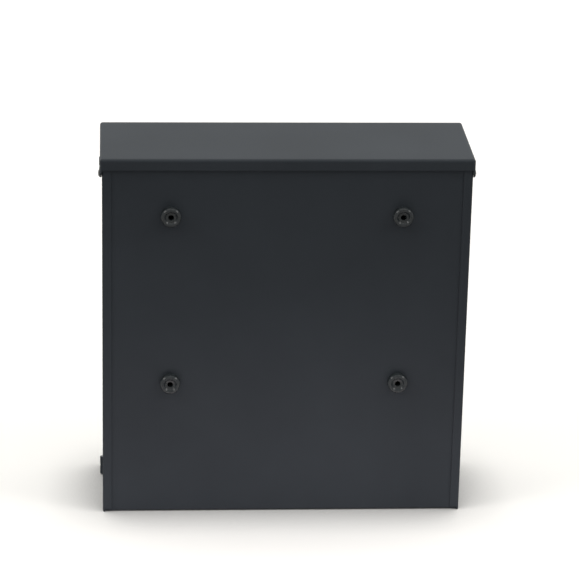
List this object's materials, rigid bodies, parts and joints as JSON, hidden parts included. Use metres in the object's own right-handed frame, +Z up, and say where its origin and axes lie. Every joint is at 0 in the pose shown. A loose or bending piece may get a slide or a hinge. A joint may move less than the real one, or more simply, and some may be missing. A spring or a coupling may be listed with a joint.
{
  "type": "wall mounted mailbox",
  "caption": "Wall mounted mailbox of folded sheet steel with a lift-up lid, a side-hung front door with a cam lock, and spacers around its wall screw holes.",
  "frame": {"origin": "centre of the four wall screw holes, on the outer face of the back sheet", "axes": "+Y towards the wall, +Z up, +X towards the door's hinges"},
  "size_m": [0.3734, 0.1285, 0.38],
  "materials": {
    "powder_coat": "fine matt powder coat, anthracite",
    "spacer_plastic": "moulded, satin",
    "dark_steel": "blackened rivet",
    "nylon": "natural nylon",
    "buffer_rubber": "soft matt",
    "zinc_steel": "bright zinc plate",
    "lock_chrome": "satin nickel plate"
  },
  "bodies": {
    "body": {"back_sheet": "powder_coat", "side_panel_hinge_side": "powder_coat", "side_panel_lock_side": "powder_coat", "front_rail": "powder_coat", "wall_spacers": "spacer_plastic", "lid_pivot_rivets": "dark_steel", "lid_pivot_washers": "nylon", "lid_buffers": "buffer_rubber", "body_hinge_leaf_lower": "powder_coat", "body_hinge_leaf_upper": "powder_coat", "hinge_pin_lower": "zinc_steel", "hinge_pin_upper": "zinc_steel"},
    "lid": {"lid": "powder_coat"},
    "door": {"door": "powder_coat", "door_hinge_leaf_lower": "powder_coat", "door_hinge_leaf_upper": "powder_coat", "lock_housing": "lock_chrome", "lock_nut": "zinc_steel"},
    "lock": {"lock_plug": "lock_chrome", "lock_cam": "zinc_steel", "cam_screw": "zinc_steel"}
  },
  "joints": [
    {"name": "lid_swing", "type": "hinge", "parent": "body", "child": "lid", "pos_m": [0, -0.0074, 0.1315], "axis": [-1, 0, 0], "range_deg": [0, 55]},
    {"name": "door_swing", "type": "hinge", "parent": "body", "child": "door", "pos_m": [0.1835, -0.092, 0], "axis": [0, 0, 1], "range_deg": [0, 170]},
    {"name": "lock_turn", "type": "hinge", "parent": "door", "child": "lock", "pos_m": [-0.155, -0.1195, -0.0525], "axis": [0, 1, 0], "range_deg": [0, 90]}
  ]
}
